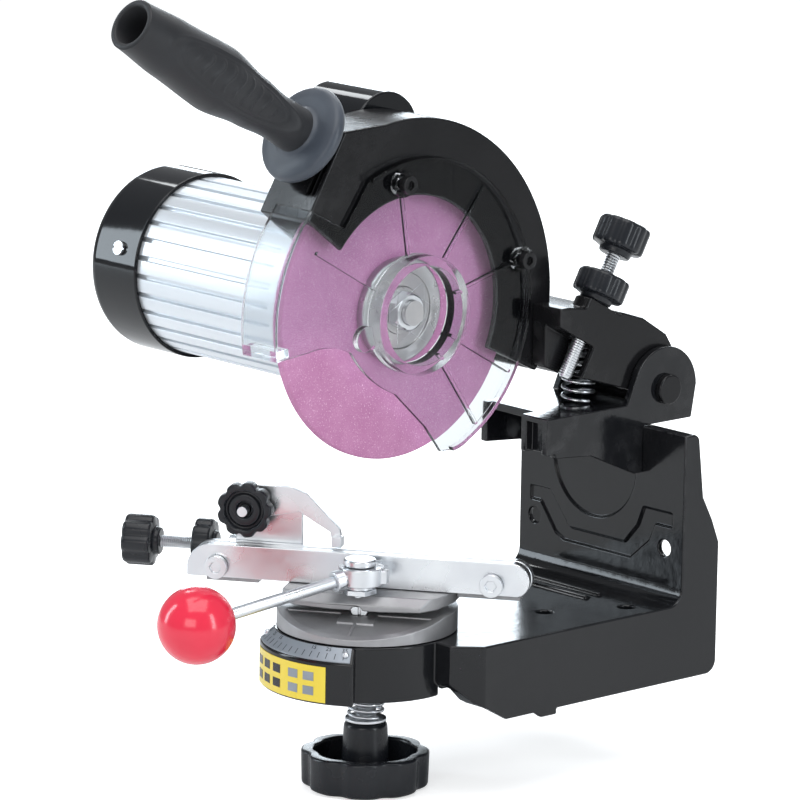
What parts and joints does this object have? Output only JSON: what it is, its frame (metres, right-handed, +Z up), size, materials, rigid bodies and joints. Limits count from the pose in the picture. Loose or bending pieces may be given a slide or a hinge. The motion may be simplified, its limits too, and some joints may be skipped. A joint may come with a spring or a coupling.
{
  "type": "chainsaw chain sharpener",
  "caption": "Bench grinder for saw chain: tilting motor head with disc wheel and clear guard over a turning chain vise on a black bench base.",
  "frame": {"origin": "middle of the rear pair of bench bolt holes, on the bench face under the base", "axes": "+X to the operator's right, along the wheel spindle; +Y to the back wall; +Z up"},
  "size_m": [0.2419, 0.3343, 0.3927],
  "materials": {
    "black_paint": "gloss",
    "black_cast": "satin",
    "black_plastic": "satin",
    "black_cap": "gloss",
    "zinc": "bright zinc plate",
    "steel": "machined",
    "grey_cast": "as cast, satin",
    "motor_aluminium": "satin, extruded",
    "scale_metal": "matte printed",
    "yellow_label": "printed film",
    "clear_plastic": "clear",
    "pink_abrasive": "fine grit",
    "grip_rubber": "matte",
    "winding": "copper winding",
    "red_plastic": "gloss",
    "red_ball": "gloss"
  },
  "bodies": {
    "base": {"base_frame": "black_paint", "scale_plate": "scale_metal", "scale_rivets": "zinc", "nose_label": "yellow_label", "pivot_bracket": "black_paint", "bracket_bolts": "zinc", "pivot_pin": "zinc", "return_spring": "zinc", "clamp_spring": "zinc"},
    "vise_table": {"turntable": "grey_cast", "vise_bolt": "zinc", "tilt_pin": "zinc"},
    "clamp_nut": {"clamp_washer": "zinc"},
    "handwheel": {"clamp_handwheel": "black_plastic"},
    "tilt_vise": {"tilt_plate": "grey_cast", "fixed_rail": "zinc", "rail_packers": "grey_cast", "rail_bolts": "zinc", "cam_post": "zinc", "stop_guide": "zinc"},
    "moving_jaw": {"moving_rail": "zinc"},
    "clamp_handle": {"clamp_cam": "zinc", "clamp_lever": "zinc", "clamp_ball": "red_ball"},
    "adjuster": {"adjust_screw": "zinc", "adjust_knob": "black_plastic"},
    "stop_carriage": {"stop_plate": "zinc", "pawl_stud": "zinc"},
    "adjust_lock": {"adjust_lock_knob": "black_plastic"},
    "pawl": {"pawl_arm": "zinc"},
    "pawl_clamp": {"pawl_knob": "black_plastic"},
    "head": {"swing_arm": "black_cast", "wheel_hood": "black_cast", "clear_shield": "clear_plastic", "shield_screws": "zinc", "handle_grip": "grip_rubber", "handle_bolt": "zinc", "motor_body": "motor_aluminium", "motor_front_bell": "motor_aluminium", "motor_end_cap": "black_cap", "cap_screws": "zinc", "motor_stator": "winding", "front_bearing": "steel", "rear_bearing": "steel", "switch_housing": "black_cap", "cord_gland": "black_plastic"},
    "rotor": {"spindle": "steel", "spindle_nut": "zinc", "front_flange": "steel", "back_flange": "steel", "grinding_wheel": "pink_abrasive", "motor_rotor": "steel"},
    "switch": {"switch_rocker": "red_plastic"},
    "depth_stop": {"depth_screw": "zinc"},
    "depth_hand": {"depth_knob": "black_plastic"},
    "depth_lock": {"depth_lock_knob": "black_plastic"}
  },
  "joints": [
    {"name": "head_swing", "type": "hinge", "parent": "base", "child": "head", "pos_m": [0.002, 0.039, 0.139], "axis": [1, 0, 0], "range_deg": [0, 14], "stiffness_Nm_per_rad": 14, "springref_deg": -51.57, "deforming": ["return_spring"]},
    {"name": "wheel_spin", "type": "hinge", "parent": "head", "child": "rotor", "pos_m": [-0.008, -0.11, 0.1915], "axis": [1, 0, 0], "continuous": true},
    {"name": "switch_rock", "type": "hinge", "parent": "head", "child": "switch", "pos_m": [-0.053, -0.1125, 0.261], "axis": [1, 0, 0], "range_deg": [0, 10]},
    {"name": "depth_travel", "type": "slide", "parent": "head", "child": "depth_stop", "axis": [0, 0.4879, 0.8729], "range_m": [-0.003, 0.003]},
    {"name": "depth_turn", "type": "hinge", "parent": "depth_stop", "child": "depth_hand", "pos_m": [0.019, 0.01167, 0.20996], "axis": [0, 0.4879, 0.8729], "range_deg": [-866, 866]},
    {"name": "depth_lock_turn", "type": "hinge", "parent": "head", "child": "depth_lock", "pos_m": [0.019, -0.00003, 0.18901], "axis": [0, 0.4879, 0.8729], "range_deg": [0, 180]},
    {"name": "vise_turn", "type": "hinge", "parent": "base", "child": "vise_table", "pos_m": [-0.008, -0.123, 0.038], "axis": [0, 0, 1], "range_deg": [-70, 0]},
    {"name": "handwheel_travel", "type": "slide", "parent": "vise_table", "child": "clamp_nut", "axis": [0, 0, 1], "range_m": [-0.003, 0], "deforming": ["clamp_spring"]},
    {"name": "handwheel_turn", "type": "hinge", "parent": "clamp_nut", "child": "handwheel", "pos_m": [-0.008, -0.123, -0.02], "axis": [0, 0, 1], "range_deg": [-720, 0]},
    {"name": "vise_tilt", "type": "hinge", "parent": "vise_table", "child": "tilt_vise", "pos_m": [-0.008, -0.123, 0.05], "axis": [-0.5736, 0.8192, 0], "range_deg": [-4, 4]},
    {"name": "jaw_slide", "type": "slide", "parent": "tilt_vise", "child": "moving_jaw", "axis": [-0.5736, 0.8192, 0], "range_m": [0, 0.0005]},
    {"name": "clamp_swing", "type": "hinge", "parent": "tilt_vise", "child": "clamp_handle", "pos_m": [0.00177, -0.13695, 0.067], "axis": [0, 0, 1], "range_deg": [0, 40]},
    {"name": "adjust_turn", "type": "hinge", "parent": "tilt_vise", "child": "adjuster", "pos_m": [-0.10104, -0.16447, 0.068], "axis": [0.8192, 0.5736, 0], "range_deg": [-1082, 1082]},
    {"name": "stop_travel", "type": "slide", "parent": "tilt_vise", "child": "stop_carriage", "axis": [0.8192, 0.5736, 0], "range_m": [-0.003, 0.003]},
    {"name": "adjust_lock_turn", "type": "hinge", "parent": "stop_carriage", "child": "adjust_lock", "pos_m": [-0.08466, -0.15299, 0.068], "axis": [0.8192, 0.5736, 0], "range_deg": [0, 180]},
    {"name": "pawl_lift", "type": "hinge", "parent": "stop_carriage", "child": "pawl", "pos_m": [-0.05944, -0.15414, 0.092], "axis": [-0.5736, 0.8192, 0], "range_deg": [-60, 0]},
    {"name": "pawl_clamp_turn", "type": "hinge", "parent": "stop_carriage", "child": "pawl_clamp", "pos_m": [-0.05543, -0.15987, 0.092], "axis": [-0.5736, 0.8192, 0], "range_deg": [0, 180]}
  ],
  "couplings": [
    {"joint": "depth_turn", "follows": "depth_travel", "rad_per_m": 5026.5},
    {"joint": "handwheel_travel", "follows": "handwheel_turn", "m_per_rad": 0.00023873},
    {"joint": "jaw_slide", "follows": "clamp_swing", "m_per_rad": 0.0007162},
    {"joint": "adjust_turn", "follows": "stop_travel", "rad_per_m": 6283.2}
  ]
}
